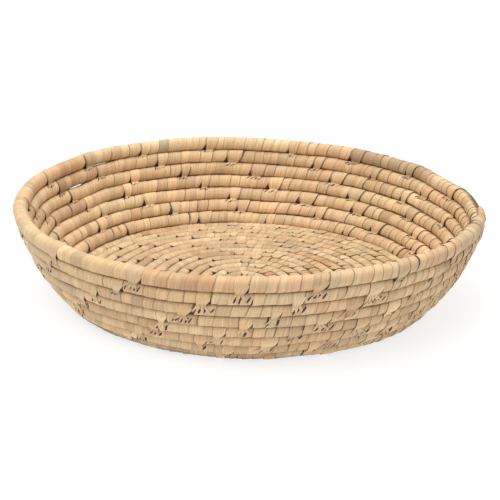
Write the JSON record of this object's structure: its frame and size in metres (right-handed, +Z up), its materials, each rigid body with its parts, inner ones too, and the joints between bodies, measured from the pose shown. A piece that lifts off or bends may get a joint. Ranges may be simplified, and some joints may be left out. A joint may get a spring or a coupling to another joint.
{
  "type": "coiled basket",
  "caption": "Round shallow basket with a flat floor and flaring sides, coiled from a fibre bundle wound with palm leaf and stitched row to row.",
  "frame": {"origin": "middle of the face that the basket stands on", "axes": "+Z up through the open top; the spiral of the coil runs anticlockwise seen from above and ends on the +X side"},
  "size_m": [0.401, 0.3992, 0.0888],
  "materials": {
    "palm_fibre": "dry palm fibre bundle, matt",
    "palm_leaf_floor": "dried split palm leaf, pale straw, satin",
    "palm_leaf_wall": "dried split palm leaf, straw to tan, satin",
    "palm_leaf_rim": "dried split palm leaf, straw with pinkish tan, satin"
  },
  "bodies": {
    "root": {"foundation_bundle": "palm_fibre", "floor_wraps_01": "palm_leaf_floor", "floor_wraps_02": "palm_leaf_floor", "floor_wraps_03": "palm_leaf_floor", "floor_wraps_04": "palm_leaf_floor", "floor_wraps_05": "palm_leaf_floor", "floor_wraps_06": "palm_leaf_floor", "floor_wraps_07": "palm_leaf_floor", "floor_wraps_08": "palm_leaf_floor", "floor_wraps_09": "palm_leaf_floor", "floor_wraps_10": "palm_leaf_floor", "floor_wraps_11": "palm_leaf_floor", "floor_wraps_12": "palm_leaf_floor", "floor_wraps_13": "palm_leaf_floor", "floor_wraps_14": "palm_leaf_floor", "wall_wraps_01": "palm_leaf_wall", "wall_wraps_02": "palm_leaf_wall", "wall_wraps_03": "palm_leaf_wall", "wall_wraps_04": "palm_leaf_wall", "wall_wraps_05": "palm_leaf_wall", "wall_wraps_06": "palm_leaf_wall", "rim_wraps": "palm_leaf_rim", "rim_end_wrap": "palm_leaf_rim"}
  },
  "joints": []
}
